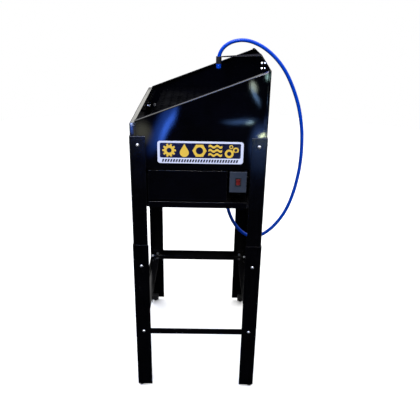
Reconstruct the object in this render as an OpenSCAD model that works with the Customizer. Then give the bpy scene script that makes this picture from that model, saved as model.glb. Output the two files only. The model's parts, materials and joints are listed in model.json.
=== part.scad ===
// Parts washer: a sheet-steel wash tub with a sloping open top, on four angle legs.
// +X is the machine's right end, -Y the operator's side (low wall), +Y the high back wall.
// The origin is under the middle of the machine, on the floor.

/* [Tub] */
// Width of the tub over its end panels
tub_w = 552; // [500:2:700]
// Depth of the tub from front wall to back wall
tub_d = 396; // [360:2:480]
// Height of the front rim above the floor
front_rim_z = 943; // [930:1:960]
// Height of the back wall's corners above the floor
back_rim_z = 1094; // [1060:1:1094]
// Rise of the back wall's middle above its corners
back_peak = 8; // [0:1:8]
// Height of the joint between the tub and the base box
seam_z = 806; // [806:1:806]
// Thickness of the tub's sheet
sheet_t = 1.5; // [1.2:0.1:2]
// Width of the rim folds
rim_fold = 14; // [10:1:16]

/* [Base box] */
// Height of the underside of the base box
base_z = 682; // [680:1:690]
// Height of the bottom rails
rail_h = 20; // [16:1:24]
// Width of the right cover, beside the switch
cover_w = 234; // [200:2:236]
// Gap between the covers and what is round them
cover_gap = 5; // [3:0.5:6]

/* [Legs] */
// Thickness of legs and bars
leg_t = 2; // [2:0.5:2]
// Flange width of the upper legs
upper_leg_w = 46; // [42:1:48]
// Flange width of the lower legs
lower_leg_w = 50; // [46:1:52]
// Top of the upper legs
upper_leg_top = 904; // [890:1:920]
// Top of the lower legs
lower_leg_top = 556; // [520:1:600]
// Height of the ring of bars above the floor
bar_z = 220; // [150:1:300]
// Upright flange of the front, back and left bars
bar_h = 28; // [24:1:30]
// Upright flange of the right bar
right_bar_h = 22; // [20:1:30]
// Inward flange of the bars
bar_fold = 31; // [25:1:40]

/* [Wash tray] */
// Diameter of the tray's drain holes
tray_hole_d = 14; // [8:1:18]
// Spacing of the tray's drain holes
tray_pitch = 32; // [28:1:40]
// Height of the tray's top face
tray_z = 852; // [846:1:860]

/* [Switch] */
// Tilt of the rocker to each side of its middle position
rocker_tilt = 8; // [5:0.5:8]

/* [Hose] */
// Outer diameter of the hose
hose_d = 12; // [10:0.5:12]

/* [Hidden] */
$fn = 48;
eps = 0.01;

// Legs: outer faces of the upper and of the lower legs, which wrap round the upper ones.
upper_x = tub_w / 2 + leg_t;
upper_y = tub_d / 2 + leg_t;
lower_x = upper_x + leg_t;
lower_y = upper_y + leg_t;
bend_r = 3.5;
foot_z = 10;
upper_leg_bottom = 406;

// Bolts: M6 domed bolts with plain nuts.
bolt_d = 6;
bolt_hole_d = 6.4;
head_d = 11;
nut_af = 10;
nut_h = 4.5;
bolt_end = 1.5;
bolt_in_x = upper_x - 24;
bolt_in_y = upper_y - 24;
top_bolt_z = 878;
splice_bolt_z = 481;
bar_bolt_z = bar_z + 12;

// Tub walls: outer and inner faces of the end panels, inside the walls' folded returns.
panel_x = tub_w / 2 - sheet_t;
inner_x = panel_x - sheet_t;
inner_y = tub_d / 2 - sheet_t;
front_return = 16;
back_return = 8;
foot_fold = 12;
rim_slope = (back_rim_z - front_rim_z) / tub_d;
rim_angle = atan(rim_slope);

// Base box: outer faces of its panels, which sit inside the rails.
base_x = tub_w / 2 - 3;
base_y = tub_d / 2 - 3;
plate_x = base_x - bend_r + leg_t;
plate_z = base_z + leg_t;
floor_z = plate_z + sheet_t;
side_half = upper_y - upper_leg_w - 6;
cover_depth = 11;
cover_z0 = base_z + rail_h + cover_gap;
cover_z1 = seam_z - cover_gap;

// Basin floor: falls to the front, where the strainer sits.
floor_fall = 2.5;
floor_low_z = seam_z + sheet_t + 0.05;
drain_y = -120;
drain_d = 70;
floor_gap = 0.3;
drain_along = (drain_y + inner_y - floor_gap) / cos(floor_fall);

// Wash tray and its ledges.
tray_w = 504;
tray_front_y = -180;
tray_back_y = 184;
tray_t = 2;
tray_skirt = 14;
ledge_w = 30;
ledge_z = tray_z - tray_t - tray_skirt;

// Reservoir.
res_w = 520;
res_front_y = -188;
res_back_y = 52;
res_h = 100;
res_drain_y = -150;

// Pump: its shaft runs along Y and its outlet points down.
pump_x = 22;
pump_z = 726;
volute_r = 32;
volute_y0 = 79;
volute_y1 = 111;
motor_y1 = 165;
shaft_d = 5;
shaft_hole_d = 5.1;
outlet_y = 95;
outlet_x = 0;
port_d = 16;
fitting_bottom = 668;

// Switch: the plate's middle, the rocker's pivot and its window.
switch_y = 119;
switch_w = 50;
switch_z0 = 736.5;
switch_z1 = 800;
switch_x = 276;
rocker_z = 770;
rocker_w = 11.8;
pivot_x = switch_x - 3.5;
pivot_d = 2.4;
pivot_hole_d = 2.5;

// Nozzle: the black holder tube at the end of the arm.
nozzle_y = 59;
holder_d = 18;
holder_top = 1096;
holder_bottom = 1074;
tip_len = 16;
arm_base_w = 56;
arm_tip_w = 16;
arm_base_y = 194.3;
arm_base_z = 1104;
arm_t = 2;
arm_foot_h = 46;
arm_bolt_x = 60;
arm_bolt_z = [1069, 1085];
arm_bolt_d = 5;
arm_hole_d = 5.4;
arm_head_d = 9;
arm_nut_af = 8;
arm_nut_h = 4;

// Label on the right end panel.
label_y = 6;
label_z = 858;
label_w = 250;
label_h = 67;

// Gland for the mains lead, in the back base panel.
gland_x = 160;
gland_z = 735;
gland_out = 10.5;

// Hose: [x, y, z] along its middle, from the nozzle over the back and up to the pump.
hose_route = [
    [0, 59, 1074], [0, 59, 1088], [0, 61, 1101], [0, 66, 1113], [0, 75, 1125],
    [0, 88, 1135], [0, 106, 1143], [0, 131, 1147], [0, 158, 1144], [0, 188, 1133],
    [0, 216, 1116], [0, 241, 1095], [0, 263, 1071], [0, 282, 1044], [0, 299, 1013],
    [0, 314, 980], [0, 328, 942], [0, 339, 900], [0, 347, 856], [0, 351, 810],
    [0, 352, 765], [0, 350, 721], [0, 345, 680], [0, 338, 640], [0, 327, 598],
    [0, 311, 556], [0, 288, 517], [0, 262, 486], [0, 236, 466], [0, 211, 457],
    [0, 187, 459], [0, 165, 470], [0, 144, 490], [0, 125, 518], [0, 111, 550],
    [0, 102, 583], [0, 97, 615], [0, 95, 644], [0, 95, fitting_bottom]
];
hose_sides = 12;
hose_steps = 2;

// A sheet in the plane of Y and Z, from x to x + t.
module sheet_x(x, t) {
    translate([x, 0, 0])
        rotate([90, 0, 90])
            linear_extrude(t)
                children();
}

// A sheet in the plane of X and Z, from y to y + t.
module sheet_y(y, t) {
    translate([0, y + t, 0])
        rotate([90, 0, 0])
            linear_extrude(t)
                children();
}

// A box from one corner to the other.
module span(a, b) {
    translate(a)
        cube(b - a);
}

// A rectangle from one corner to the other.
module rect(a, b) {
    translate(a)
        square(b - a);
}

// Section of a folded angle: the outer corner is at the origin, flanges along +x and +y.
module angle_section(wx, wy, t) {
    rect([bend_r, 0], [wx, t]);
    rect([0, bend_r], [t, wy]);
    intersection() {
        difference() {
            translate([bend_r, bend_r])
                circle(bend_r);
            translate([bend_r, bend_r])
                circle(bend_r - t);
        }
        square(bend_r);
    }
}

// A cylinder along X or along Y, from a to b.
module rod_x(a, b, y, z, d) {
    translate([a, y, z])
        rotate([0, 90, 0])
            cylinder(d = d, h = b - a);
}

module rod_y(a, b, x, z, d) {
    translate([x, b, z])
        rotate([90, 0, 0])
            cylinder(d = d, h = b - a);
}

module rod_z(a, b, x, y, d) {
    translate([x, y, a])
        cylinder(d = d, h = b - a);
}

// Puts a piece made for the right back corner in the corner at sx, sy.
module corner(sx, sy) {
    mirror([sx < 0 ? 1 : 0, 0, 0])
        mirror([0, sy < 0 ? 1 : 0, 0])
            children();
}

// A leg for the right back corner, with its outer corner at ox, oy.
module leg(ox, oy, w, z0, z1) {
    translate([ox, oy, z0])
        rotate(180)
            linear_extrude(z1 - z0)
                angle_section(w, w, leg_t);
}

// Bolt holes through both flanges of the right back leg.
module leg_holes(zx, zy) {
    for (z = zx)
        rod_x(lower_x - 10, lower_x + 5, bolt_in_y, z, bolt_hole_d);
    for (z = zy)
        rod_y(lower_y - 10, lower_y + 5, bolt_in_x, z, bolt_hole_d);
}

module upper_leg(sx, sy) {
    color([0.05, 0.05, 0.07])
        corner(sx, sy)
            difference() {
                leg(upper_x, upper_y, upper_leg_w, upper_leg_bottom, upper_leg_top);
                leg_holes([top_bolt_z, splice_bolt_z], [top_bolt_z, splice_bolt_z]);
            }
}

module lower_leg(sx, sy) {
    color([0.05, 0.05, 0.07])
        corner(sx, sy)
            difference() {
                leg(lower_x, lower_y, lower_leg_w, foot_z, lower_leg_top);
                leg_holes([splice_bolt_z, bar_bolt_z], [splice_bolt_z, bar_bolt_z]);
            }
}

// A plastic plug in the corner of the leg. The domed glide under it has a small flat bottom.
module foot(sx, sy) {
    plug = 24;
    glide_r = 10.5;
    dome_r = 10.75;
    flat = 0.8;
    inset = 12;
    color([0.08, 0.08, 0.08])
        corner(sx, sy) {
            difference() {
                span([lower_x - leg_t - plug, lower_y - leg_t - plug, foot_z - eps],
                     [lower_x - leg_t, lower_y - leg_t, foot_z + 18]);
                translate([lower_x - leg_t, lower_y - leg_t, foot_z + 9])
                    rotate(45)
                        cube([4.2, 4.2, 40], center = true);
            }
            translate([lower_x - inset, lower_y - inset, 0])
                intersection() {
                    translate([0, 0, dome_r - flat])
                        sphere(dome_r);
                    cylinder(r = glide_r, h = foot_z);
                }
        }
}

// Bar between a front and a back leg. Its ends stop just inside the front and back bars.
module side_bar(sx) {
    half = lower_y - 2 * leg_t - 1;
    color([0.05, 0.05, 0.07])
        corner(sx, 1)
            difference() {
                translate([lower_x - leg_t, half, bar_z])
                    rotate([90, 0, 0])
                        mirror([1, 0, 0])
                            linear_extrude(2 * half)
                                angle_section(bar_fold, sx > 0 ? right_bar_h : bar_h, leg_t);
                for (y = [-bolt_in_y, bolt_in_y])
                    rod_x(lower_x - 10, lower_x + 5, y, bar_bolt_z, bolt_hole_d);
            }
}

// Bar between a left and a right leg. Its inward flange is cut back at both ends, clear of the side bars.
module cross_bar(sy) {
    half = lower_x - leg_t - 1.5;
    flange_half = lower_x - leg_t - bar_fold - 1;
    color([0.05, 0.05, 0.07])
        corner(1, sy)
            difference() {
                translate([-half, lower_y - leg_t, bar_z])
                    rotate([90, 0, 90])
                        mirror([1, 0, 0])
                            linear_extrude(2 * half)
                                angle_section(bar_fold, bar_h, leg_t);
                for (x = [-bolt_in_x, bolt_in_x])
                    rod_y(lower_y - 10, lower_y + 5, x, bar_bolt_z, bolt_hole_d);
                for (side = [-1, 1])
                    corner(side, 1)
                        span([flange_half, 0, bar_z - 1],
                             [half + 1, lower_y - 2 * leg_t, bar_z + bend_r + 1]);
            }
}

// Cuts a rounded edge along X where an outer face at +Y meets one at +Z.
module round_edge(y, z, r) {
    translate([-tub_w, y - r, z - r])
        rotate([90, 0, 90])
            linear_extrude(2 * tub_w)
                difference() {
                    square(r + 1);
                    circle(r);
                }
}

// Rails under the base box: the end rails reach from leg to leg.
module end_rail(sx) {
    color([0.06, 0.06, 0.09])
        corner(sx, 1)
            translate([base_x + leg_t, side_half, base_z])
                rotate([90, 0, 0])
                    mirror([1, 0, 0])
                        linear_extrude(2 * side_half)
                            angle_section(rail_h + leg_t, rail_h, leg_t);
}

module long_rail(sy) {
    fold_end = base_x - rail_h - 0.5;
    color([0.06, 0.06, 0.09])
        corner(1, sy)
            difference() {
                union() {
                    span([-base_x - leg_t, base_y, base_z],
                         [base_x + leg_t, base_y + leg_t, base_z + rail_h]);
                    span([-fold_end, base_y - rail_h, base_z], [fold_end, base_y + eps, plate_z]);
                }
                mirror([0, 0, 1])
                    round_edge(base_y + leg_t, -base_z, leg_t);
            }
}

// Floor of the base box, with holes for the drain plug and for the pump's outlet.
module base_plate() {
    color([0.06, 0.06, 0.07])
        difference() {
            span([-plate_x, -base_y, plate_z], [plate_x, base_y, floor_z]);
            rod_z(plate_z - 5, floor_z + 5, 0, res_drain_y, 34);
            rod_z(plate_z - 5, floor_z + 5, outlet_x, outlet_y, port_d + 3);
        }
}

// Cover in an end of the base box, from y0 to y1: a shallow tray, held by tabs at its back.
module base_side(sx, y0, y1) {
    back_x = base_x - cover_depth;
    tab_w = 20;
    color([0.05, 0.05, 0.08])
        corner(sx, 1) {
            difference() {
                span([back_x, y0, cover_z0], [base_x, y1, cover_z1]);
                span([back_x - 1, y0 + sheet_t, cover_z0 + sheet_t],
                     [base_x - sheet_t, y1 - sheet_t, cover_z1 - sheet_t]);
            }
            for (y = [y0 + tab_w, y1 - 2 * tab_w]) {
                span([back_x, y, floor_z], [back_x + sheet_t, y + tab_w, cover_z0 + sheet_t]);
                span([back_x, y, cover_z1 - sheet_t], [back_x + sheet_t, y + tab_w, seam_z]);
            }
        }
}

module base_end(sy, gland) {
    color([0.05, 0.05, 0.08])
        corner(1, sy)
            difference() {
                span([-base_x, base_y - sheet_t, floor_z], [base_x, base_y, seam_z]);
                if (gland)
                    rod_y(base_y - 5, base_y + 5, -gland_x, gland_z, 16.4);
            }
}

// Section of a tub wall, seen from above: a long sheet folded round onto both end panels.
module wall_section(fold) {
    for (s = [0, 1])
        mirror([s, 0, 0])
            translate([tub_w / 2, tub_d / 2])
                rotate(180)
                    angle_section(tub_w / 2 + eps, fold, sheet_t);
}

// Holes for the legs' top bolts in a wall at the back, and for the same in the front wall.
module wall_holes() {
    for (x = [-bolt_in_x, bolt_in_x])
        rod_y(tub_d / 2 - 8, tub_d / 2 + 5, x, top_bolt_z, bolt_hole_d);
}

// Low front wall: folded in at the rim and at the foot, and round onto both end panels.
module front_wall() {
    return_r = 8;
    y1 = tub_d / 2;
    color([0.06, 0.06, 0.09])
        corner(1, -1)
            difference() {
                union() {
                    translate([0, 0, seam_z])
                        linear_extrude(front_rim_z - seam_z)
                            wall_section(front_return);
                    span([-inner_x + 0.5, y1 - rim_fold, front_rim_z - sheet_t],
                         [inner_x - 0.5, inner_y + eps, front_rim_z]);
                    span([-inner_x, y1 - foot_fold, seam_z],
                         [inner_x, inner_y + eps, seam_z + sheet_t]);
                }
                translate([0, y1 - front_return + return_r, front_rim_z - return_r])
                    rotate([90, 0, 90])
                        for (x = [-tub_w / 2 - 1, panel_x - 0.3])
                            translate([0, 0, x])
                                linear_extrude(sheet_t + 1.3)
                                    difference() {
                                        translate([-return_r - 1, 0])
                                            square(return_r + 1);
                                        circle(return_r);
                                    }
                round_edge(y1, front_rim_z, bend_r);
                wall_holes();
            }
}

// High back wall: its top rises a little to the middle.
module back_wall() {
    half = tub_w / 2 + 1;
    color([0.04, 0.04, 0.06])
        difference() {
            union() {
                intersection() {
                    translate([0, 0, seam_z])
                        linear_extrude(back_rim_z + back_peak - seam_z)
                            wall_section(back_return);
                    sheet_y(0, tub_d)
                        polygon([[-half, seam_z], [half, seam_z], [half, back_rim_z],
                                 [0, back_rim_z + back_peak], [-half, back_rim_z]]);
                }
                span([-inner_x, tub_d / 2 - foot_fold, seam_z],
                     [inner_x, inner_y + eps, seam_z + sheet_t]);
            }
            wall_holes();
            for (z = arm_bolt_z)
                rod_y(tub_d / 2 - 8, tub_d / 2 + 5, arm_bolt_x, z, arm_hole_d);
        }
}

// Height of the sloping rim at a distance y from the middle.
function rim_z(y) = front_rim_z + (y + tub_d / 2) * rim_slope;

// End panel of the tub: folded in along its sloping rim and along its foot.
module end_panel(sx) {
    y1 = inner_y - 2;
    y0 = -y1;
    fold_y0 = -tub_d / 2 + rim_fold + 0.5;
    foot_y = tub_d / 2 - foot_fold - 0.1;
    drop = bend_r / cos(rim_angle);
    rim_len = tub_d / cos(rim_angle);
    color([0.03, 0.03, 0.06])
        corner(sx, 1)
            difference() {
                union() {
                    sheet_x(inner_x, sheet_t)
                        polygon([[y0, seam_z], [y1, seam_z], [y1, rim_z(y1) - drop],
                                 [y0, rim_z(y0) - drop]]);
                    intersection() {
                        translate([panel_x, tub_d / 2, back_rim_z])
                            rotate([90 + rim_angle, 0, 0])
                                rotate(180)
                                    linear_extrude(rim_len)
                                        angle_section(rim_fold, 2 * bend_r, sheet_t);
                        span([0, fold_y0, seam_z], [tub_w, y1, back_rim_z + 1]);
                    }
                    span([inner_x - foot_fold, -foot_y, seam_z],
                         [inner_x + eps, foot_y, seam_z + sheet_t]);
                }
                for (y = [-bolt_in_y, bolt_in_y])
                    rod_x(inner_x - 5, panel_x + 5, y, top_bolt_z, bolt_hole_d);
            }
}

// Moves a piece from the level at z = 0 onto the sloping basin floor.
module on_floor() {
    translate([0, -inner_y + floor_gap, floor_low_z])
        rotate([floor_fall, 0, 0])
            children();
}

module basin_floor() {
    depth = 2 * (inner_y - floor_gap) / cos(floor_fall);
    color([0.25, 0.26, 0.27])
        on_floor()
            difference() {
                span([-inner_x + 0.2, 0, 0], [inner_x - 0.2, depth - 0.2, sheet_t]);
                rod_z(-5, 5, 0, drain_along, drain_d);
            }
}

// A perforated cup with a flange that hangs it in the basin floor.
module strainer() {
    cup_d = drain_d - 3;
    cup_h = 15;
    color([0.6, 0.6, 0.62])
        on_floor()
            translate([0, drain_along, sheet_t])
                difference() {
                    union() {
                        cylinder(d = drain_d + 14, h = 1.2);
                        translate([0, 0, -cup_h])
                            cylinder(d = cup_d, h = cup_h + eps);
                    }
                    translate([0, 0, -cup_h + 1.2])
                        cylinder(d = cup_d - 2.4, h = cup_h + 5);
                    cylinder_grid(cup_h);
                }
}

// Holes of the strainer's bottom: one in the middle and two rings.
module cylinder_grid(cup_h) {
    for (ring = [0, 1, 2])
        for (k = [0 : max(0, 6 * ring - 1)])
            rotate(ring == 0 ? 0 : 60 * k / ring)
                translate([10 * ring, 0, -cup_h - 1])
                    cylinder(d = 5, h = 4);
}

module tray_ledge(sx) {
    color([0.1, 0.1, 0.11])
        corner(sx, 1)
            translate([inner_x, tray_back_y, ledge_z - leg_t])
                rotate([90, 0, 0])
                    mirror([1, 0, 0])
                        linear_extrude(tray_back_y - tray_front_y)
                            angle_section(ledge_w, 16, leg_t);
}

// Perforated tray on which the parts are washed. Its skirt stands on the ledges.
module wash_tray() {
    half = tray_w / 2;
    mid_y = (tray_front_y + tray_back_y) / 2;
    z0 = tray_z - tray_t - tray_skirt;
    nx = floor((tray_w / 2 - 24) / tray_pitch);
    ny = floor(((tray_back_y - tray_front_y) / 2 - 22) / tray_pitch);
    color([0.08, 0.08, 0.09])
        difference() {
            span([-half, tray_front_y, z0], [half, tray_back_y - 0.5, tray_z]);
            span([-half + tray_t, tray_front_y + tray_t, z0 - 1],
                 [half - tray_t, tray_back_y - 0.5 - tray_t, tray_z - tray_t]);
            for (i = [-nx : nx], j = [-ny : ny])
                rod_z(tray_z - 10, tray_z + 5, i * tray_pitch, mid_y + j * tray_pitch, tray_hole_d);
        }
}

// Open-topped reservoir in the base box.
module reservoir() {
    half = res_w / 2;
    color([0.2, 0.2, 0.21])
        difference() {
            span([-half, res_front_y, floor_z], [half, res_back_y, floor_z + res_h]);
            span([-half + sheet_t, res_front_y + sheet_t, floor_z + sheet_t],
                 [half - sheet_t, res_back_y - sheet_t, floor_z + res_h + 1]);
            rod_z(floor_z - 5, floor_z + 5, 0, res_drain_y, 18.2);
            rod_y(res_back_y - 5, res_back_y + 5, pump_x, pump_z, port_d + 0.2);
        }
}

// Screw plug under the reservoir, with its sealing flange and hexagon.
module drain_plug() {
    color([0.7, 0.6, 0.3])
        difference() {
            union() {
                rod_z(floor_z - 3, floor_z, 0, res_drain_y, 28);
                rod_z(floor_z - 3, floor_z + 8, 0, res_drain_y, 18);
                translate([0, res_drain_y, floor_z - 10])
                    cylinder(d = 20, h = 8, $fn = 6);
            }
            rod_z(floor_z + 1, floor_z + 9, 0, res_drain_y, 12);
        }
}

// Tube from the reservoir to the pump's inlet, with a collar against the reservoir.
module suction_tube() {
    color([0.25, 0.25, 0.26])
        difference() {
            union() {
                rod_y(res_back_y - 6, volute_y0, pump_x, pump_z, port_d);
                rod_y(res_back_y, res_back_y + 3, pump_x, pump_z, port_d + 10);
            }
            rod_y(res_back_y - 7, volute_y0 + 1, pump_x, pump_z, port_d - 4);
        }
}

// Pump housing: a round chamber, open to the back, with its outlet pipe pointing down.
module pump_volute() {
    color([0.25, 0.25, 0.26])
        difference() {
            union() {
                rod_y(volute_y0, volute_y1, pump_x, pump_z, 2 * volute_r);
                rod_z(fitting_bottom + 12, pump_z, outlet_x, outlet_y, port_d + 2);
            }
            rod_y(volute_y0 + 3, volute_y1 + 1, pump_x, pump_z, 2 * volute_r - 6);
            rod_y(volute_y0 - 1, volute_y0 + 5, pump_x, pump_z, port_d - 4);
            rod_z(fitting_bottom + 11, pump_z, outlet_x, outlet_y, port_d - 4);
        }
}

// Back of the pump chamber: a disc with the shaft's front bearing.
module pump_cover() {
    color([0.3, 0.3, 0.32])
        difference() {
            union() {
                rod_y(volute_y1, volute_y1 + 3, pump_x, pump_z, 2 * volute_r);
                rod_y(volute_y1 - 3, volute_y1 + 3, pump_x, pump_z, 2 * volute_r - 6.4);
            }
            rod_y(volute_y1 - 5, volute_y1 + 5, pump_x, pump_z, shaft_hole_d);
        }
}

module motor_stator() {
    color([0.35, 0.36, 0.38])
        difference() {
            rod_y(volute_y1 + 3, motor_y1, pump_x, pump_z, 54);
            rod_y(volute_y1 + 2, motor_y1 + 1, pump_x, pump_z, 32);
        }
}

// End of the motor with the shaft's rear bearing.
module motor_cap() {
    color([0.1, 0.1, 0.1])
        difference() {
            rod_y(motor_y1, motor_y1 + 6, pump_x, pump_z, 54);
            rod_y(motor_y1 - 1, motor_y1 + 4, pump_x, pump_z, shaft_hole_d);
        }
}

// Angle bracket that stands on the base plate and holds the motor's end.
module pump_bracket() {
    y0 = motor_y1 + 6;
    color([0.65, 0.66, 0.68]) {
        span([pump_x - 30, y0, floor_z], [pump_x + 30, y0 + 2, pump_z + 32]);
        span([pump_x - 30, y0 - 22, floor_z], [pump_x + 30, y0, floor_z + 2]);
    }
}

// Six straight vanes on a disc, on the pump's shaft.
module impeller() {
    disc_y = volute_y1 - 8;
    color([0.3, 0.3, 0.31]) {
        rod_y(disc_y, disc_y + 2, pump_x, pump_z, 46);
        rod_y(disc_y - 10, motor_y1 + 3, pump_x, pump_z, shaft_d);
        for (k = [0 : 5])
            translate([pump_x, disc_y - 10, pump_z])
                rotate([0, 60 * k, 0])
                    span([2, 0, -1], [22, 10 + eps, 1]);
    }
}

// Magnet of the motor, on the same shaft as the impeller.
module motor_rotor() {
    color([0.15, 0.15, 0.16])
        difference() {
            rod_y(volute_y1 + 8, motor_y1 - 6, pump_x, pump_z, 30);
            rod_y(volute_y1 + 7, motor_y1 - 5, pump_x, pump_z, shaft_d);
        }
}

// Push-in fitting that joins the hose to the pump's outlet.
module hose_fitting() {
    color([0.1, 0.1, 0.12])
        difference() {
            union() {
                rod_z(fitting_bottom, fitting_bottom + 12, outlet_x, outlet_y, 20);
                rod_z(fitting_bottom + 2, fitting_bottom + 10, outlet_x, outlet_y, 23);
            }
            rod_z(fitting_bottom - 1, fitting_bottom + 13, outlet_x, outlet_y, 8);
        }
}

// Cubic through the route's points: q in 0..1 between points 1 and 2 of four.
function blend(p, q) =
    0.5 * (2 * p[1] + (p[2] - p[0]) * q + (2 * p[0] - 5 * p[1] + 4 * p[2] - p[3]) * q * q
           + (3 * p[1] - p[0] - 3 * p[2] + p[3]) * q * q * q);

function route_point(i) = hose_route[max(0, min(len(hose_route) - 1, i))];

function route_at(s) =
    let (i = min(len(hose_route) - 2, floor(s)))
    blend([for (k = [-1 : 2]) route_point(i + k)], s - i);

// The route lies in the plane of Y and Z, so X is square to it everywhere.
function ring(i, count) =
    let (s = i * (len(hose_route) - 1) / (count - 1),
         h = 0.05,
         along = route_at(min(len(hose_route) - 1, s + h)) - route_at(max(0, s - h)),
         dir = along / norm(along),
         out = cross([1, 0, 0], dir))
    [for (k = [0 : hose_sides - 1])
        let (a = 360 * k / hose_sides)
        route_at(s) + hose_d / 2 * (cos(a) * [1, 0, 0] + sin(a) * out)];

module hose() {
    n = hose_sides;
    count = hose_steps * (len(hose_route) - 1) + 1;
    points = [for (i = [0 : count - 1]) each ring(i, count)];
    walls = [for (i = [0 : count - 2], k = [0 : n - 1])
        [i * n + k, i * n + (k + 1) % n, (i + 1) * n + (k + 1) % n, (i + 1) * n + k]];
    start = [for (k = [n - 1 : -1 : 0]) k];
    end = [for (k = [0 : n - 1]) (count - 1) * n + k];
    color([0.08, 0.27, 0.85])
        polyhedron(points, concat(walls, [start, end]));
}

// Folded arm: a tapered blade over the basin, and a foot against the back wall's inner face.
module nozzle_arm() {
    blade_end_y = nozzle_y + holder_d / 2 - 1;
    run = arm_base_y - blade_end_y;
    blade_z = arm_base_z - 0.3;
    droop = atan((blade_z - holder_top) / run);
    base_half = arm_base_w / 2;
    foot_end = arm_bolt_x + 12;
    shoulder = 6;
    color([0.05, 0.05, 0.07])
        difference() {
            union() {
                translate([0, arm_base_y, blade_z])
                    rotate([droop, 0, 0])
                        mirror([0, 1, 0])
                            translate([0, 0, -arm_t])
                                linear_extrude(arm_t)
                                    polygon([[1 - base_half, -1], [base_half - 1, -1],
                                             [arm_tip_w / 2, run], [-arm_tip_w / 2, run]]);
                sheet_y(arm_base_y, inner_y - arm_base_y)
                    polygon([[-base_half, arm_base_z - arm_foot_h], [foot_end, arm_base_z - arm_foot_h],
                             [foot_end, arm_base_z - shoulder], [base_half, arm_base_z - shoulder],
                             [base_half, arm_base_z], [-base_half, arm_base_z]]);
            }
            for (z = arm_bolt_z)
                rod_y(arm_base_y - 5, inner_y + 5, arm_bolt_x, z, arm_hole_d);
            rod_z(holder_bottom, holder_top + 10, 0, nozzle_y, holder_d);
        }
}

// Tube that holds the end of the hose.
module nozzle_holder() {
    color([0.05, 0.05, 0.05])
        difference() {
            rod_z(holder_bottom, holder_top, 0, nozzle_y, holder_d);
            rod_z(holder_bottom - 1, holder_top + 1, 0, nozzle_y, hose_d + 0.5);
        }
}

// Nozzle under the holder: a short barrel that narrows to its mouth.
module nozzle_tip() {
    bottom = holder_bottom - tip_len;
    color([0.1, 0.3, 0.85])
        translate([0, nozzle_y, bottom])
            rotate_extrude()
                polygon([[3, 0], [6.4, 0], [7.8, 3], [7.8, tip_len - 2], [7, tip_len],
                         [3, tip_len]]);
}

// Sheet box that carries the switch: closed in front, open to the inside.
module switch_box() {
    depth = 38;
    y0 = switch_y - switch_w / 2;
    y1 = switch_y + switch_w / 2;
    color([0.22, 0.25, 0.3])
        difference() {
            span([switch_x - depth, y0, switch_z0], [switch_x, y1, switch_z1]);
            span([switch_x - depth - 1, y0 + sheet_t, switch_z0 + sheet_t],
                 [switch_x - sheet_t, y1 - sheet_t, switch_z1 - sheet_t]);
            span([switch_x - 5, switch_y - 7.4, rocker_z - 11],
                 [switch_x + 1, switch_y + 7.4, rocker_z + 11]);
        }
}

// Channel that hangs the switch box under the end panel.
module switch_bracket() {
    color([0.1, 0.1, 0.11])
        difference() {
            span([switch_x - 34, switch_y - 18, switch_z1], [switch_x - 4, switch_y + 18, seam_z]);
            span([switch_x - 35, switch_y - 16, switch_z1 + 1.5],
                 [switch_x - 3, switch_y + 16, seam_z - 1.5]);
        }
}

// Body of the switch: a bezel in front of the box and a shell behind it.
module switch_housing() {
    body_w = 14.4;
    body_h = 21.6;
    room_w = 12.6;
    room_h = 19.8;
    color([0.04, 0.04, 0.04])
        difference() {
            union() {
                span([switch_x, switch_y - 8.6, rocker_z - 12.4],
                     [switch_x + 1.8, switch_y + 8.6, rocker_z + 12.4]);
                span([switch_x - 18, switch_y - body_w / 2, rocker_z - body_h / 2],
                     [switch_x, switch_y + body_w / 2, rocker_z + body_h / 2]);
            }
            span([switch_x - 15, switch_y - room_w / 2, rocker_z - room_h / 2],
                 [switch_x + 2, switch_y + room_w / 2, rocker_z + room_h / 2]);
            rod_y(switch_y - body_w / 2 - 1, switch_y + body_w / 2 + 1, pivot_x, rocker_z,
                  pivot_hole_d);
        }
}

// Red rocker on two pins. It rests with its lower end pressed in.
module rocker() {
    color([0.75, 0.08, 0.06])
        translate([pivot_x, switch_y, rocker_z])
            rotate([0, rocker_tilt, 0]) {
                rotate([90, 0, 0])
                    translate([0, 0, -rocker_w / 2])
                        linear_extrude(rocker_w)
                            polygon([[-4, -2.5], [-1, -8], [6, -8.8], [7.2, -8.4], [6, 0],
                                     [7.2, 8.4], [6, 8.8], [-1, 8], [-4, 2.5]]);
                rod_y(-rocker_w / 2 - 1, rocker_w / 2 + 1, 0, 0, pivot_d);
            }
}

module label_plate() {
    r = 8;
    t = 0.8;
    color([0.9, 0.9, 0.93])
        sheet_x(panel_x, t)
            for (flip = [0, 1])
                rect([label_y - label_w / 2 + (flip ? r : 0), label_z - label_h / 2 + (flip ? 0 : r)],
                     [label_y + label_w / 2 - (flip ? r : 0), label_z + label_h / 2 - (flip ? 0 : r)]);
    color([0.9, 0.9, 0.93])
        for (sy = [-1, 1], sz = [-1, 1])
            rod_x(panel_x, panel_x + t, label_y + sy * (label_w / 2 - r),
                  label_z + sz * (label_h / 2 - r), 2 * r);
}

// Gland for the mains lead, in the back of the base box.
module cable_gland() {
    color([0.05, 0.05, 0.05])
        difference() {
            union() {
                rod_y(base_y - 12, base_y + 4, -gland_x, gland_z, 16);
                rod_y(base_y, base_y + 4, -gland_x, gland_z, 23);
                rod_y(base_y - 6.5, base_y - sheet_t, -gland_x, gland_z, 22);
                rod_y(base_y + 4, base_y + gland_out, -gland_x, gland_z, 18);
            }
            rod_y(base_y - 13, base_y + 16, -gland_x, gland_z, 8);
        }
}

// A domed bolt along +z: the head's underside is at z = 0 and the shank runs down.
module dome_bolt(d, head, len) {
    height = 0.33 * head;
    dome_r = (head * head / 4 + height * height) / (2 * height);
    intersection() {
        translate([0, 0, height - dome_r])
            sphere(dome_r);
        cylinder(d = head, h = height + 1);
    }
    translate([0, 0, -len])
        cylinder(d = d, h = len + eps);
}

module nut(d, af, h) {
    difference() {
        cylinder(r = af / 2 / cos(30), h = h, $fn = 6);
        translate([0, 0, -1])
            cylinder(d = d, h = h + 2);
    }
}

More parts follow.
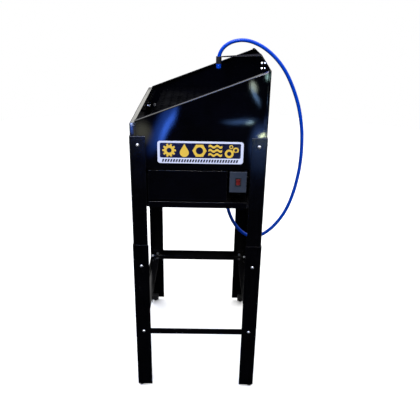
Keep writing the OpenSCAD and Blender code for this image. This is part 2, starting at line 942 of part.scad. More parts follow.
// Places of the frame's bolts on an X face: [outer face, y, z, grip].
function x_bolts() = [
    for (sy = [-1, 1]) each [
        [upper_x, sy * bolt_in_y, top_bolt_z, upper_x - inner_x],
        [lower_x, sy * bolt_in_y, splice_bolt_z, 2 * leg_t],
        [lower_x, sy * bolt_in_y, bar_bolt_z, 2 * leg_t]
    ]
];

function y_bolts() = [
    for (sx = [-1, 1]) each [
        [sx * bolt_in_x, upper_y, top_bolt_z, upper_y - inner_y],
        [sx * bolt_in_x, lower_y, splice_bolt_z, 2 * leg_t],
        [sx * bolt_in_x, lower_y, bar_bolt_z, 2 * leg_t]
    ]
];

module frame_bolts() {
    color([0.8, 0.8, 0.82])
        for (s = [-1, 1]) {
            corner(s, 1)
                for (b = x_bolts())
                    translate([b[0], b[1], b[2]])
                        rotate([0, 90, 0])
                            dome_bolt(bolt_d, head_d, b[3] + nut_h + bolt_end);
            corner(1, s)
                for (b = y_bolts())
                    translate([b[0], b[1], b[2]])
                        rotate([-90, 0, 0])
                            dome_bolt(bolt_d, head_d, b[3] + nut_h + bolt_end);
        }
}

module frame_nuts() {
    color([0.7, 0.7, 0.72])
        for (s = [-1, 1]) {
            corner(s, 1)
                for (b = x_bolts())
                    translate([b[0] - b[3] - nut_h, b[1], b[2]])
                        rotate([0, 90, 0])
                            nut(bolt_d, nut_af, nut_h);
            corner(1, s)
                for (b = y_bolts())
                    translate([b[0], b[1] - b[3] - nut_h, b[2]])
                        rotate([-90, 0, 0])
                            nut(bolt_d, nut_af, nut_h);
        }
}

// The two bolts of the arm's foot, with their heads outside the back wall.
module arm_bolts() {
    color([0.8, 0.8, 0.82])
        for (z = arm_bolt_z)
            translate([arm_bolt_x, tub_d / 2, z])
                rotate([-90, 0, 0])
                    dome_bolt(arm_bolt_d, arm_head_d, tub_d / 2 - arm_base_y + arm_nut_h + bolt_end);
}

module arm_nuts() {
    color([0.75, 0.75, 0.78])
        for (z = arm_bolt_z)
            translate([arm_bolt_x, arm_base_y - arm_nut_h, z])
                rotate([-90, 0, 0])
                    nut(arm_bolt_d, arm_nut_af, arm_nut_h);
}

upper_leg(1, -1);  // upper_leg_front_right
upper_leg(-1, -1);  // upper_leg_front_left
upper_leg(1, 1);  // upper_leg_back_right
upper_leg(-1, 1);  // upper_leg_back_left
lower_leg(1, -1);  // lower_leg_front_right
lower_leg(-1, -1);  // lower_leg_front_left
lower_leg(1, 1);  // lower_leg_back_right
lower_leg(-1, 1);  // lower_leg_back_left
foot(1, -1);  // foot_front_right
foot(-1, -1);  // foot_front_left
foot(1, 1);  // foot_back_right
foot(-1, 1);  // foot_back_left
side_bar(1);  // side_bar_right
side_bar(-1);  // side_bar_left
cross_bar(-1);  // front_bar
cross_bar(1);  // back_bar
end_rail(1);  // base_rail_right
end_rail(-1);  // base_rail_left
long_rail(-1);  // base_rail_front
long_rail(1);  // base_rail_back
base_plate();
base_side(1, -side_half, cover_w - side_half);  // base_panel_right
base_side(-1, -side_half, side_half);  // base_panel_left
base_end(-1, false);  // base_panel_front
base_end(1, true);  // base_panel_back
front_wall();
back_wall();
end_panel(1);  // end_panel_right
end_panel(-1);  // end_panel_left
basin_floor();
tray_ledge(1);  // tray_ledge_right
tray_ledge(-1);  // tray_ledge_left
wash_tray();
strainer();
reservoir();
drain_plug();
suction_tube();
pump_volute();
pump_cover();
motor_stator();
motor_cap();
pump_bracket();
impeller();
motor_rotor();
hose_fitting();
hose();
nozzle_arm();
nozzle_holder();
nozzle_tip();
switch_box();
switch_bracket();
switch_housing();
rocker();
label_plate();
cable_gland();
frame_bolts();
frame_nuts();
arm_bolts();
arm_nuts();
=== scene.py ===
"""Looks of the parts washer tank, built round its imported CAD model."""

import json
import math

import bpy
from mathutils import Matrix, Vector


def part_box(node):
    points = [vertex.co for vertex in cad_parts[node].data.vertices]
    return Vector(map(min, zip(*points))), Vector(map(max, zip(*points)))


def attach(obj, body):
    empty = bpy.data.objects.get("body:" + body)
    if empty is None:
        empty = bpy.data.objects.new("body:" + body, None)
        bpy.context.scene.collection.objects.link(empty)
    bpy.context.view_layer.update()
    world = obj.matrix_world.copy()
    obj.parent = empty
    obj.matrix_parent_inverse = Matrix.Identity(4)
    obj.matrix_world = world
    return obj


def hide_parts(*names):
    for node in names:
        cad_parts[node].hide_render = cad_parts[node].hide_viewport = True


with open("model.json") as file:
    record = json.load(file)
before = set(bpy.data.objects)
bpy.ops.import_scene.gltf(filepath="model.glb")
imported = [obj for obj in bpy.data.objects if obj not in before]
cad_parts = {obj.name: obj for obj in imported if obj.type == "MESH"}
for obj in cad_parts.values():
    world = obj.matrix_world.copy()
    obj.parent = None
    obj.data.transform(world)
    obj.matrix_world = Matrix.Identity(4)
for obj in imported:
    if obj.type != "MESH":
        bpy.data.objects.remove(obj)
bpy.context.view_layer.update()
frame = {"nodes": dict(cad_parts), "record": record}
nodes = frame["nodes"]
scene = bpy.context.scene


# Camera: before the +X end, a little above the tub, looking down at it. Angles are in radians.

CAMERA_PLACE = (1.74802, 0.01561, 1.31142)
CAMERA_PITCH, CAMERA_YAW, CAMERA_ROLL = 0.4065, 0.01476, 0.02223
CAMERA_LENS = 45.196


def make_camera():
    pitch, yaw, roll = CAMERA_PITCH, CAMERA_YAW, CAMERA_ROLL
    forward = Vector((-math.cos(pitch) * math.cos(yaw), math.cos(pitch) * math.sin(yaw), -math.sin(pitch)))
    level = Vector((math.sin(yaw), math.cos(yaw), 0))
    above = level.cross(forward)
    right = math.cos(roll) * level + math.sin(roll) * above
    up = math.cos(roll) * above - math.sin(roll) * level
    data = bpy.data.cameras.new("camera")
    data.sensor_width = 36
    data.lens = CAMERA_LENS
    data.clip_start, data.clip_end = 0.05, 60
    camera = bpy.data.objects.new("camera", data)
    turn = Matrix((right, up, -forward)).transposed()
    camera.matrix_world = Matrix.Translation(CAMERA_PLACE) @ turn.to_4x4()
    scene.collection.objects.link(camera)
    scene.camera = camera


make_camera()


# Hose: (y, z) in millimetres along its middle, from the nozzle over the back to the pump's fitting.
ROUTE = [
    (59, 1074), (59, 1088), (61, 1101), (66, 1113), (75, 1125), (88, 1135), (106, 1143), (131, 1147),
    (158, 1144), (188, 1133), (216, 1116), (241, 1095), (263, 1071), (282, 1044), (299, 1013),
    (314, 980), (328, 942), (339, 900), (347, 856), (351, 810), (352, 765), (350, 721), (345, 680),
    (338, 640), (327, 598), (311, 556), (288, 517), (262, 486), (236, 466), (211, 457), (187, 459),
    (165, 470), (144, 490), (125, 518), (111, 550), (102, 583), (97, 615), (95, 644), (95, 668),
]
HOSE_D = 0.012
HOSE_SIDES = 20


def smooth_line(points, steps):
    """Points along the cubic through these points, as part.scad's own hose runs."""
    line = []
    for i in range(len(points) - 1):
        p = [points[max(0, min(len(points) - 1, i + k))] for k in (-1, 0, 1, 2)]
        for step in range(steps):
            q = step / steps
            line.append(0.5 * (2 * p[1] + (p[2] - p[0]) * q + (2 * p[0] - 5 * p[1] + 4 * p[2] - p[3]) * q * q
                               + (3 * p[1] - p[0] - 3 * p[2] + p[3]) * q ** 3))
    return line + [points[-1]]


def make_hose():
    line = smooth_line([Vector((0, y / 1000, z / 1000)) for y, z in reversed(ROUTE)], 6)
    sides = HOSE_SIDES
    verts, faces = [], []
    for i, middle in enumerate(line):
        along = (line[min(i + 1, len(line) - 1)] - line[max(i - 1, 0)]).normalized()
        side = Vector((1, 0, 0))
        out = side.cross(along)
        for k in range(sides):
            a = 2 * math.pi * k / sides
            verts.append(middle + HOSE_D / 2 * (math.cos(a) * side + math.sin(a) * out))
    for i in range(len(line) - 1):
        for k in range(sides):
            n = (k + 1) % sides
            faces.append((i * sides + k, i * sides + n, (i + 1) * sides + n, (i + 1) * sides + k))
    faces.append(tuple(reversed(range(sides))))
    faces.append(tuple(range((len(line) - 1) * sides, len(line) * sides)))
    mesh = bpy.data.meshes.new("hose_tube")
    mesh.from_pydata(verts, [], faces)
    mesh.update()
    for polygon in mesh.polygons:
        polygon.use_smooth = len(polygon.vertices) == 4
    hose = bpy.data.objects.new("hose_tube", mesh)
    scene.collection.objects.link(hose)
    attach(hose, "cabinet")
    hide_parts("hose")
    return hose


hose = make_hose()


# Materials

UPPER_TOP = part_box("upper_leg_front_right")[1].z


class Look:
    """A material of nodes. Its patterns follow the object's own coordinates, in metres."""

    def __init__(self, name, **sockets):
        self.mat = bpy.data.materials.new(name)
        self.mat.use_nodes = True
        self.tree = self.mat.node_tree
        self.tree.nodes.clear()
        out = self.add("ShaderNodeOutputMaterial")
        self.bsdf = self.add("ShaderNodeBsdfPrincipled")
        self.tree.links.new(self.bsdf.outputs["BSDF"], out.inputs["Surface"])
        self.place = self.add("ShaderNodeTexCoord").outputs["Object"]
        self.normal = None
        for key, value in sockets.items():
            self.bsdf.inputs[key.replace("_", " ")].default_value = value

    def add(self, kind, **settings):
        node = self.tree.nodes.new(kind)
        for key, value in settings.items():
            setattr(node, key, value)
        return node

    def put(self, socket, value):
        if isinstance(value, bpy.types.NodeSocket):
            self.tree.links.new(value, socket)
        else:
            socket.default_value = value

    def stretched(self, stretch):
        if stretch is None:
            return self.place
        node = self.add("ShaderNodeMapping")
        self.put(node.inputs["Vector"], self.place)
        node.inputs["Scale"].default_value = stretch
        return node.outputs[0]

    def noise(self, scale, detail=3.0, rough=0.55, stretch=None, distort=0.0):
        node = self.add("ShaderNodeTexNoise")
        for key, value in (("Scale", scale), ("Detail", detail), ("Roughness", rough), ("Distortion", distort)):
            node.inputs[key].default_value = value
        self.put(node.inputs["Vector"], self.stretched(stretch))
        return node.outputs[0]

    def cells(self, scale, feature="F1", output="Distance", stretch=None):
        node = self.add("ShaderNodeTexVoronoi", feature=feature)
        node.inputs["Scale"].default_value = scale
        self.put(node.inputs["Vector"], self.stretched(stretch))
        return node.outputs[output]

    def remap(self, value, lo, hi, a, b):
        node = self.add("ShaderNodeMapRange")
        for socket, number in zip(node.inputs[1:5], (lo, hi, a, b)):
            socket.default_value = number
        self.put(node.inputs[0], value)
        return node.outputs[0]

    def sum(self, a, b, kind="ADD"):
        node = self.add("ShaderNodeMath", operation=kind)
        self.put(node.inputs[0], a)
        self.put(node.inputs[1], b)
        return node.outputs[0]

    def mix(self, factor, a, b):
        node = self.add("ShaderNodeMix", data_type="RGBA")
        self.put(node.inputs[0], factor)
        self.put(node.inputs[6], (*a, 1) if isinstance(a, tuple) else a)
        self.put(node.inputs[7], (*b, 1) if isinstance(b, tuple) else b)
        return node.outputs[2]

    def edges(self, radius):
        """1 on edges and 0 on flats: how far the rounded normal leans from the true one."""
        bevel = self.add("ShaderNodeBevel", samples=4)
        bevel.inputs["Radius"].default_value = radius
        dot = self.add("ShaderNodeVectorMath", operation="DOT_PRODUCT")
        self.put(dot.inputs[0], bevel.outputs[0])
        self.put(dot.inputs[1], self.add("ShaderNodeNewGeometry").outputs["Normal"])
        return self.remap(dot.outputs["Value"], 0.99, 0.8, 0, 1)

    def upward(self):
        """1 where the surface faces up."""
        split = self.add("ShaderNodeSeparateXYZ")
        self.put(split.inputs[0], self.add("ShaderNodeNewGeometry").outputs["Normal"])
        return self.remap(split.outputs[2], 0.7, 0.98, 0, 1)

    def bump(self, height, strength, distance):
        node = self.add("ShaderNodeBump")
        node.inputs["Strength"].default_value = strength
        node.inputs["Distance"].default_value = distance
        self.put(node.inputs["Height"], height)
        if self.normal is not None:
            self.put(node.inputs["Normal"], self.normal)
        self.normal = node.outputs[0]

    def done(self, colour, rough):
        self.put(self.bsdf.inputs["Base Color"], colour)
        self.put(self.bsdf.inputs["Roughness"], rough)
        if self.normal is not None:
            self.put(self.bsdf.inputs["Normal"], self.normal)
        return self.mat


def enamel(name, dark, light, rough, worn, dusty, peel):
    """Sprayed and baked paint on sheet: slow waves, orange peel, handling smears, dust and thin edges."""
    look = Look(name)
    smear = look.noise(9, 4, 0.6, distort=0.6)
    grime = look.noise(45, 5, 0.65)
    edge = look.edges(0.0009)
    chip = look.sum(edge, look.remap(look.noise(160, 3, 0.7), 0.5, 0.62, 0, 1), "MULTIPLY")
    colour = look.mix(look.remap(smear, 0.35, 0.7, 0, 1), dark, light)
    colour = look.mix(look.remap(edge, 0, 1, 0, 0.35), colour, worn)
    colour = look.mix(look.remap(chip, 0, 1, 0, 0.6), colour, worn)
    dust = look.sum(look.upward(), look.remap(grime, 0.42, 0.7, 0.05, dusty), "MULTIPLY")
    colour = look.mix(dust, colour, (0.2, 0.19, 0.18))
    gloss = look.remap(smear, 0.3, 0.75, rough * 0.75, rough * 1.5)
    gloss = look.sum(gloss, look.remap(grime, 0.45, 0.75, 0, rough * 0.8))
    gloss = look.sum(gloss, look.sum(dust, 0.5, "MULTIPLY"))
    look.bump(look.noise(4.5, 1.5, 0.4), 1.0, 0.0016)
    look.bump(look.noise(330, 2, 0.5), peel, 0.0003)
    return look.done(colour, gloss)


def powder(name):
    """Satin powder coat on the frame: fine texture, rubs along the edges, scuffs."""
    look = Look(name, Specular_IOR_Level=0.3)
    cloud = look.noise(14, 4, 0.6)
    scuff = look.remap(look.noise(90, 4, 0.7, stretch=(1, 1, 0.25)), 0.62, 0.72, 0, 1)
    edge = look.edges(0.0008)
    # Painted highlight: a light bluish-grey band of colour on the top ends of the upper legs stands in for the
    # bright line of light along them.
    split = look.add("ShaderNodeSeparateXYZ")
    look.put(split.inputs[0], look.place)
    painted_leg_top_highlight = look.remap(split.outputs[2], UPPER_TOP - 0.0009, UPPER_TOP - 0.0004, 0, 1)
    cover = look.remap(cloud, 0.35, 0.7, 0, 1)
    colour = look.mix(cover, (0.0005, 0.0005, 0.0008), (0.0012, 0.0012, 0.0018))
    colour = look.mix(look.remap(edge, 0, 1, 0, 0.4), colour, (0.03, 0.03, 0.034))
    colour = look.mix(look.remap(scuff, 0, 1, 0, 0.25), colour, (0.012, 0.012, 0.013))
    # Painted highlight on the upper legs' top ends.
    colour = look.mix(painted_leg_top_highlight, colour, (0.1, 0.105, 0.125))
    gloss = look.sum(look.remap(cloud, 0.3, 0.75, 0.1, 0.17), look.remap(scuff, 0, 1, 0, 0.15))
    look.bump(look.noise(6, 1.5, 0.4), 1.0, 0.0008)
    look.bump(look.noise(620, 2, 0.6), 0.14, 0.0003)
    return look.done(colour, gloss)


def galvanised(name):
    """Zinc-coated sheet: spangle cells of differing grey and gloss, with fine rubbing."""
    look = Look(name, Metallic=1.0)
    cell = look.cells(75, output="Color")
    tone = look.add("ShaderNodeSeparateColor")
    look.put(tone.inputs[0], cell)
    cloud = look.noise(18, 4, 0.6)
    rub = look.noise(260, 3, 0.6, stretch=(0.1, 1, 1))
    colour = look.mix(tone.outputs[0], (0.34, 0.35, 0.37), (0.5, 0.51, 0.53))
    colour = look.mix(look.remap(cloud, 0.5, 0.75, 0, 0.5), colour, (0.25, 0.24, 0.22))
    gloss = look.sum(look.remap(tone.outputs[1], 0, 1, 0.32, 0.5), look.remap(rub, 0.3, 0.7, -0.05, 0.08))
    look.bump(tone.outputs[2], 0.06, 0.0003)
    look.bump(rub, 0.1, 0.0002)
    return look.done(colour, gloss)


def plated(name, dark, light, rough, stain):
    """Plated or turned metal: uneven tint, fine tool lines, dull spots."""
    look = Look(name, Metallic=1.0)
    cloud = look.noise(120, 4, 0.6)
    lines = look.noise(900, 2, 0.5, stretch=(1, 1, 0.15))
    colour = look.mix(look.remap(cloud, 0.35, 0.7, 0, 1), dark, light)
    colour = look.mix(look.remap(look.noise(420, 3, 0.7), 0.6, 0.75, 0, 0.6), colour, stain)
    gloss = look.remap(cloud, 0.3, 0.75, rough * 0.8, rough * 1.5)
    gloss = look.sum(gloss, look.remap(lines, 0.3, 0.7, 0, 0.06))
    look.bump(lines, 0.12, 0.00015)
    return look.done(colour, gloss)


def moulded(name, dark, light, rough, grain, **sockets):
    """Moulded plastic or rubber: faint flow marks, a fine texture from the mould, rubbed edges."""
    look = Look(name, **sockets)
    flow = look.noise(60, 4, 0.6, distort=0.8)
    edge = look.edges(0.0005)
    colour = look.mix(look.remap(flow, 0.35, 0.7, 0, 1), dark, light)
    colour = look.mix(look.remap(edge, 0, 1, 0, 0.25), colour, tuple(min(1, 0.03 + 1.6 * c) for c in light))
    gloss = look.remap(flow, 0.3, 0.75, rough * 0.85, rough * 1.15)
    gloss = look.sum(gloss, look.remap(edge, 0, 1, 0, -0.05))
    look.bump(look.noise(1500, 2, 0.6), grain, 0.0002)
    return look.done(colour, gloss)


def tubing(name):
    """Glossy blue polyurethane hose: slight cloudiness, a faint fine bump, scuffs."""
    look = Look(name, Specular_IOR_Level=0.2, Subsurface_Weight=0.08, Subsurface_Scale=0.004)
    cloud = look.noise(35, 4, 0.6)
    scuff = look.remap(look.noise(420, 4, 0.7), 0.6, 0.72, 0, 1)
    colour = look.mix(look.remap(cloud, 0.3, 0.7, 0, 1), (0.0, 0.035, 0.36), (0.001, 0.055, 0.48))
    colour = look.mix(look.remap(scuff, 0, 1, 0, 0.2), colour, (0.08, 0.2, 0.7))
    gloss = look.sum(look.remap(cloud, 0.3, 0.7, 0.16, 0.24), look.remap(scuff, 0, 1, 0, 0.2))
    look.bump(look.noise(300, 2, 0.5), 0.03, 0.0002)
    return look.done(colour, gloss)


def printed(name, colour, rough):
    """Print on a plastic film: ink of slightly uneven cover, with short hairline scratches."""
    look = Look(name, Coat_Weight=0.25, Coat_Roughness=0.12)
    cloud = look.noise(30, 4, 0.6)
    scratch = look.remap(look.noise(1500, 2, 0.5, stretch=(1, 0.03, 1)), 0.68, 0.72, 0, 1)
    grain = look.noise(2600, 1, 0.5)
    tone = look.mix(look.remap(cloud, 0.3, 0.7, 0, 1), tuple(0.9 * c for c in colour), colour)
    tone = look.mix(look.remap(grain, 0.4, 0.6, 0, 0.06), tone, tuple(min(1, 1.1 * c + 0.01) for c in colour))
    tone = look.mix(look.remap(scratch, 0, 1, 0, 0.12), tone, (0.4, 0.4, 0.42))
    gloss = look.remap(cloud, 0.3, 0.7, rough * 0.85, rough * 1.2)
    gloss = look.sum(gloss, look.remap(scratch, 0, 1, 0, 0.1))
    look.bump(look.noise(24, 2, 0.5), 0.5, 0.0003)
    return look.done(tone, gloss)


LOOKS = {
    "cabinet_paint": enamel("cabinet_paint", (0.0006, 0.0006, 0.0011), (0.0011, 0.0012, 0.0026), 0.024,
                            (0.01, 0.01, 0.012), 0.03, 0.05),
    "frame_paint": powder("frame_paint"),
    "basin_paint": enamel("basin_paint", (0.0015, 0.0015, 0.0018), (0.003, 0.003, 0.0034), 0.22,
                          (0.04, 0.04, 0.04), 0.06, 0.2),
    "bare_steel": galvanised("bare_steel"),
    "zinc": plated("zinc", (0.5, 0.51, 0.54), (0.68, 0.69, 0.71), 0.24, (0.32, 0.3, 0.27)),
    "brass": plated("brass", (0.55, 0.38, 0.14), (0.72, 0.52, 0.22), 0.24, (0.28, 0.17, 0.07)),
    "foot_rubber": moulded("foot_rubber", (0.01, 0.01, 0.01), (0.022, 0.021, 0.02), 0.72, 0.6),
    "pump_plastic": moulded("pump_plastic", (0.022, 0.022, 0.024), (0.04, 0.04, 0.043), 0.42, 0.2,
                            Subsurface_Weight=0.05, Subsurface_Scale=0.003),
    "black_plastic": moulded("black_plastic", (0.006, 0.006, 0.007), (0.014, 0.014, 0.015), 0.4, 0.4),
    "magnet": moulded("magnet", (0.03, 0.03, 0.032), (0.06, 0.06, 0.062), 0.5, 0.8, Metallic=0.6),
    "hose_blue": tubing("hose_blue"),
    "switch_paint": enamel("switch_paint", (0.022, 0.029, 0.042), (0.032, 0.041, 0.058), 0.42,
                           (0.12, 0.13, 0.14), 0.1, 0.5),
    "rocker_red": moulded("rocker_red", (0.12, 0.011, 0.011), (0.18, 0.016, 0.015), 0.2, 0.08,
                          Subsurface_Weight=0.1, Subsurface_Scale=0.002, Coat_Weight=0.3),
    "label": printed("label", (0.76, 0.79, 0.9), 0.3),
}
navy = printed("print_navy", (0.006, 0.006, 0.028), 0.22)
yellow = printed("print_yellow", (0.86, 0.56, 0.06), 0.3)


EDGE_RADIUS = 0.0003


def soften(node):
    """Rounds a CAD node's sharp edges a little, so that they catch the light."""
    weld = node.modifiers.new("weld", "WELD")
    weld.merge_threshold = 0.000002
    flat = node.modifiers.new("flat", "DECIMATE")
    flat.decimate_type = "DISSOLVE"
    flat.angle_limit = math.radians(0.4)
    bevel = node.modifiers.new("bevel", "BEVEL")
    bevel.limit_method = "ANGLE"
    bevel.angle_limit = math.radians(32)
    bevel.width = EDGE_RADIUS
    bevel.segments = 2
    bevel.use_clamp_overlap = False
    bevel.miter_outer = "MITER_ARC"
    shade = node.modifiers.new("shade", "WEIGHTED_NORMAL")
    shade.keep_sharp = False


# Nodes that are already round, full of small holes, or replaced.
PLAIN = ("frame_bolts", "foot_front_right", "foot_front_left", "foot_back_right", "foot_back_left", "hose",
         "nozzle_tip", "impeller", "wash_tray", "strainer")
for part in frame["record"]["subparts"]:
    node = nodes[part["node"]]
    node.data.materials.clear()
    node.data.materials.append(LOOKS[part["material_slot"]])
    if part["node"] not in PLAIN:
        soften(node)
hose.data.materials.append(LOOKS["hose_blue"])


# Print on the label: loops of (y, z) in millimetres about the middle of the label.

def circle(y, z, r, count=40, start=0.0):
    turn = 2 * math.pi / count
    return [(y + r * math.cos(start + k * turn), z + r * math.sin(start + k * turn)) for k in range(count)]


def rounded(y0, z0, y1, z1, r):
    loop = []
    for k, (y, z) in enumerate(((y1 - r, z1 - r), (y0 + r, z1 - r), (y0 + r, z0 + r), (y1 - r, z0 + r))):
        loop += [(y + r * math.cos(math.radians(90 * k + a)), z + r * math.sin(math.radians(90 * k + a)))
                 for a in range(0, 91, 15)]
    return loop


def gear(y, z, r):
    loop = []
    for k in range(10):
        for offset, size in ((-11, 0.76), (-8, 1.0), (8, 1.0), (11, 0.76)):
            a = math.radians(36 * k + offset)
            loop.append((y + r * size * math.cos(a), z + r * size * math.sin(a)))
    return [loop, circle(y, z, r * 0.36)]


def drop(y, z, r):
    loop = [(y, z + r)]
    for k in range(25):
        a = math.radians(30 - 240 * k / 24)
        loop.append((y + 0.66 * r * math.cos(a), z - 0.3 * r + 0.66 * r * math.sin(a)))
    return [loop]


def nut(y, z, r):
    return [circle(y, z, r, 6), circle(y, z, r * 0.5)]


def waves(y, z, r):
    loops = []
    for level in (-0.62, 0, 0.62):
        top = [(y + r * (k / 12 - 1), z + r * (level + 0.2 + 0.13 * math.sin(math.pi * k / 6)))
               for k in range(25)]
        loops.append(top + [(a, b - 0.34 * r) for a, b in reversed(top)])
    return loops


def bubbles(y, z, r):
    loops = []
    for dy, dz, size in ((-0.35, -0.3, 0.62), (0.55, 0.2, 0.42), (-0.1, 0.68, 0.28)):
        loops += [circle(y + r * dy, z + r * dz, r * size), circle(y + r * dy, z + r * dz, r * size * 0.5)]
    return loops


def print_layer(name, loops, depth, look):
    """A thin layer of these shapes on the label's face. A loop inside another cuts a hole in it."""
    low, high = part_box("label_plate")
    data = bpy.data.curves.new(name, "CURVE")
    data.dimensions = "2D"
    data.fill_mode = "BOTH"
    data.extrude = depth / 2
    for loop in loops:
        spline = data.splines.new("POLY")
        spline.points.add(len(loop) - 1)
        for point, (y, z) in zip(spline.points, loop):
            point.co = (y / 1000, z / 1000, 0, 1)
        spline.use_cyclic_u = True
    flat = bpy.data.objects.new(name + "_outline", data)
    scene.collection.objects.link(flat)
    bpy.context.view_layer.update()
    mesh = bpy.data.meshes.new_from_object(flat.evaluated_get(bpy.context.evaluated_depsgraph_get()))
    bpy.data.objects.remove(flat)
    middle = (low + high) / 2
    face = high.x + depth / 2
    mesh.transform(Matrix(((0, 0, 1, face), (1, 0, 0, middle.y), (0, 1, 0, middle.z), (0, 0, 0, 1))))
    mesh.materials.clear()
    mesh.materials.append(look)
    layer = bpy.data.objects.new(name, mesh)
    scene.collection.objects.link(layer)
    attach(layer, "cabinet")


INK = 0.00006
print_layer("label_panel", [rounded(-118, -16.5, 117, 28, 4)], INK, navy)
icons = gear(-91, 5.8, 20) + drop(-47, 5.5, 20) + nut(-3, 5.8, 21) + waves(43, 5.8, 20) + bubbles(91, 4.5, 21)
print_layer("label_icons", icons, 2 * INK, yellow)
stripes = [[(y, -29.5), (y + 5, -29.5), (y + 8, -20.5), (y + 3, -20.5)] for y in range(-113, 106, 8)]
print_layer("label_stripes", stripes, INK, navy)


# Floor, world and lamps

FLOOR_RADIUS = 4.0
FLOOR_SIDES = 64
FLOOR_DROP = 0.0005


def make_floor():
    """Pale to the camera. In reflections it is dark before the ends and brighter before the long sides."""
    look = Look("floor")
    ray = look.add("ShaderNodeLightPath").outputs["Is Camera Ray"]
    split = look.add("ShaderNodeSeparateXYZ")
    look.put(split.inputs[0], look.place)
    beside = look.remap(look.sum(split.outputs[1], 0.0, "ABSOLUTE"), 0.6, 1.5, 0, 1)
    mirrored = look.mix(beside, (0.005, 0.005, 0.006), (0.42, 0.43, 0.46))
    grain = look.noise(5, 5, 0.6)
    pale = look.mix(look.remap(grain, 0.3, 0.7, 0, 1), (0.94, 0.94, 0.94), (0.97, 0.97, 0.97))
    mat = look.done(look.mix(ray, mirrored, pale), 0.9)
    look.bsdf.inputs["Specular IOR Level"].default_value = 0.0
    mesh = bpy.data.meshes.new("floor")
    turn = 2 * math.pi / FLOOR_SIDES
    ring = [(FLOOR_RADIUS * math.cos(k * turn), FLOOR_RADIUS * math.sin(k * turn), -FLOOR_DROP)
            for k in range(FLOOR_SIDES)]
    mesh.from_pydata(ring, [], [tuple(range(FLOOR_SIDES))])
    mesh.materials.append(mat)
    floor = bpy.data.objects.new("floor", mesh)
    scene.collection.objects.link(floor)


# Sky seen in reflections: height of the direction (0 level, 1 straight up) and its colour.
SKY = (
    (0.0, (0.01, 0.01, 0.016)), (0.15, (0.035, 0.035, 0.055)), (0.172, (0.2, 0.2, 0.22)),
    (0.192, (1.5, 1.48, 1.38)), (0.5, (1.5, 1.5, 1.5)), (1.0, (1.1, 1.1, 1.12)),
)
SKY_BEYOND = (-0.7, -0.3, 1, 0.25)
SKY_HEIGHT = (0.35, 0.6, 0.25, 1)


def make_world():
    """White to the camera. In reflections it is bright high up and beyond the -X end, and dark low down."""
    world = bpy.data.worlds.new("studio")
    scene.world = world
    world.use_nodes = True
    tree = world.node_tree
    tree.nodes.clear()
    out = tree.nodes.new("ShaderNodeOutputWorld")
    mixed = tree.nodes.new("ShaderNodeMixShader")
    white = tree.nodes.new("ShaderNodeBackground")
    studio = tree.nodes.new("ShaderNodeBackground")
    path = tree.nodes.new("ShaderNodeLightPath")
    place = tree.nodes.new("ShaderNodeTexCoord")
    split = tree.nodes.new("ShaderNodeSeparateXYZ")
    ramp = tree.nodes.new("ShaderNodeValToRGB")
    white.inputs["Color"].default_value = (1, 1, 1, 1)
    tree.links.new(place.outputs["Generated"], split.inputs[0])
    tree.links.new(split.outputs[2], ramp.inputs[0])
    beyond = tree.nodes.new("ShaderNodeMapRange")
    height = tree.nodes.new("ShaderNodeMapRange")
    level = tree.nodes.new("ShaderNodeMath")
    level.operation = "MAXIMUM"
    for node, output, numbers in ((beyond, 0, SKY_BEYOND), (height, 2, SKY_HEIGHT)):
        tree.links.new(split.outputs[output], node.inputs[0])
        for socket, number in zip(node.inputs[1:5], numbers):
            socket.default_value = number
    tree.links.new(beyond.outputs[0], level.inputs[0])
    tree.links.new(height.outputs[0], level.inputs[1])
    tree.links.new(level.outputs[0], studio.inputs["Strength"])
    for element, (position, colour) in zip(ramp.color_ramp.elements, (SKY[0], SKY[-1])):
        element.position = position
        element.color = (*colour, 1)
    for position, colour in SKY[1:-1]:
        ramp.color_ramp.elements.new(position).color = (*colour, 1)
    tree.links.new(ramp.outputs[0], studio.inputs["Color"])
    tree.links.new(path.outputs["Is Camera Ray"], mixed.inputs[0])
    tree.links.new(studio.outputs[0], mixed.inputs[1])
    tree.links.new(white.outputs[0], mixed.inputs[2])
    tree.links.new(mixed.outputs[0], out.inputs[0])


def lamp(name, place, target, size, power, colour=(1, 1, 1), roll=0.0, shape="RECTANGLE"):
    data = bpy.data.lights.new(name, "AREA")
    data.shape = shape
    data.size, data.size_y = size
    data.energy = power
    data.color = colour
    obj = bpy.data.objects.new(name, data)
    aim = (Vector(target) - Vector(place)).to_track_quat("-Z", "Y").to_matrix().to_4x4()
    obj.matrix_world = Matrix.Translation(place) @ aim @ Matrix.Rotation(roll, 4, "Z")
    obj.visible_camera = False
    scene.collection.objects.link(obj)
    return obj


make_floor()
make_world()
lamp("overhead", (-0.2, 0, 3.2), (0, 0, 0), (3.4, 3.4), 90)
lamp("overhead_blue", (1.2, -0.35, 2.6), (0, 0, 0.6), (1.2, 0.3), 22, (0.12, 0.3, 1.0))
lamp("fill", (2.4, -0.15, 3.2), (0.2, 0, 0.9), (0.7, 0.5), 60)


def feather(light, solid):
    """Fades an area light towards its edge. Solid is the share of its radius at full strength."""
    light.use_nodes = True
    tree = light.node_tree
    emission = tree.nodes["Emission"]
    place = tree.nodes.new("ShaderNodeNewGeometry")
    middle = tree.nodes.new("ShaderNodeVectorMath")
    middle.operation = "DISTANCE"
    middle.inputs[1].default_value = (0.5, 0.5, 0)
    fade = tree.nodes.new("ShaderNodeMapRange")
    fade.interpolation_type = "SMOOTHSTEP"
    for socket, number in zip(fade.inputs[1:5], (0.5 * solid, 0.5, 1, 0)):
        socket.default_value = number
    tree.links.new(place.outputs["Parametric"], middle.inputs[0])
    tree.links.new(middle.outputs["Value"], fade.inputs[0])
    tree.links.new(fade.outputs[0], emission.inputs["Strength"])


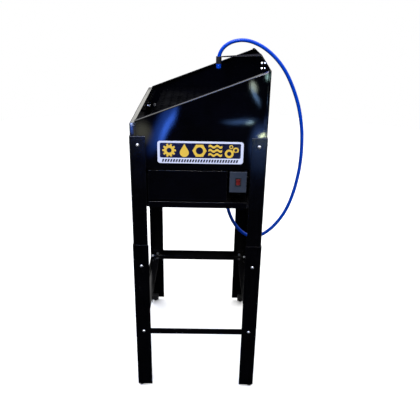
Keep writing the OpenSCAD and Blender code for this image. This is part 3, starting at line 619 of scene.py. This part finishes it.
def card(name, away, across, z, size, glow, colour, roll=0.0, side=0, solid=0.1):
    """A soft light low before one side, showing only as a reflection. Side 0 is +X, and 90 is +Y.

    Glow is the brightness of its middle. The power for it follows from the ellipse's area.
    """
    power = glow * math.pi * math.pi / 4 * size[0] * size[1]
    turn = Matrix.Rotation(math.radians(side), 3, "Z")
    light = lamp(name, turn @ Vector((away, across, z)), turn @ Vector((0, across, z)), size, power, colour,
                 math.radians(roll), "ELLIPSE")
    feather(light.data, solid)


# Each card: name, place across, height, (width, length), glow, colour, roll in degrees, side, solid.
CARDS = (
    ("streak_core", -0.236, 0.435, (0.065, 0.38), 11, (0.06, 0.2, 1.0), -25, 0, 0.2),
    ("streak", -0.262, 0.44, (0.14, 0.54), 5, (0.05, 0.18, 1.0), -24),
    ("olive", -0.39, 0.40, (0.17, 0.22), 1.2, (1.0, 1.0, 0.78)),
    ("corner", -0.463, 0.425, (0.032, 0.11), 13, (0.08, 0.22, 1.0)),
    ("corner_top", -0.462, 0.457, (0.036, 0.018), 50, (0.48, 0.6, 1.0), 0, 0, 0.6),
    ("level", 0.255, 0.482, (0.30, 0.06), 3.5, (0.2, 0.42, 1.0), 4),
    ("level_end", 0.322, 0.472, (0.09, 0.034), 11, (0.6, 0.9, 1.0), 4),
    ("teal", 0.322, 0.70, (0.055, 0.12), 9, (0.85, 1.0, 0.85), 22),
    ("teal_tail", 0.340, 0.635, (0.034, 0.20), 7, (0.3, 0.55, 1.0), 27),
    ("teal_top", 0.425, 0.775, (0.05, 0.08), 12, (0.6, 1.0, 0.95)),
    ("edge", 0.43, 0.48, (0.012, 0.20), 9, (0.2, 0.35, 1.0)),
    ("lime", 0.408, 0.386, (0.075, 0.016), 62, (0.9, 1.0, 0.55), 38, 0, 0.4),
    ("leg", 0.40, 0.29, (0.18, 0.42), 6, (0.16, 0.34, 1.0)),
    ("front_streak", -0.12, 0.32, (0.09, 0.5), 3, (0.45, 0.6, 1.0), -25, 270),
    ("front_soft", 0.2, 0.28, (0.25, 0.4), 0.8, (1.0, 0.97, 0.9), 0, 270),
    ("back_streak", -0.15, 0.35, (0.08, 0.6), 3, (0.45, 0.6, 1.0), 20, 90),
    ("back_soft", 0.25, 0.3, (0.3, 0.5), 0.8, (1.0, 0.97, 0.9), 0, 90),
    ("left_streak", 0.2, 0.42, (0.06, 0.34), 3, (0.45, 0.6, 1.0), -20, 180),
    ("left_soft", -0.24, 0.4, (0.16, 0.3), 0.8, (1.0, 0.97, 0.9), 0, 180),
)
CARD_AWAY = 2.2
CARD_STEP = 0.002  # Cards in one plane would hide each other.
for number, (name, *rest) in enumerate(CARDS):
    card("card_" + name, CARD_AWAY + CARD_STEP * number, *rest)

scene.view_settings.view_transform = "Standard"
scene.view_settings.look = "None"
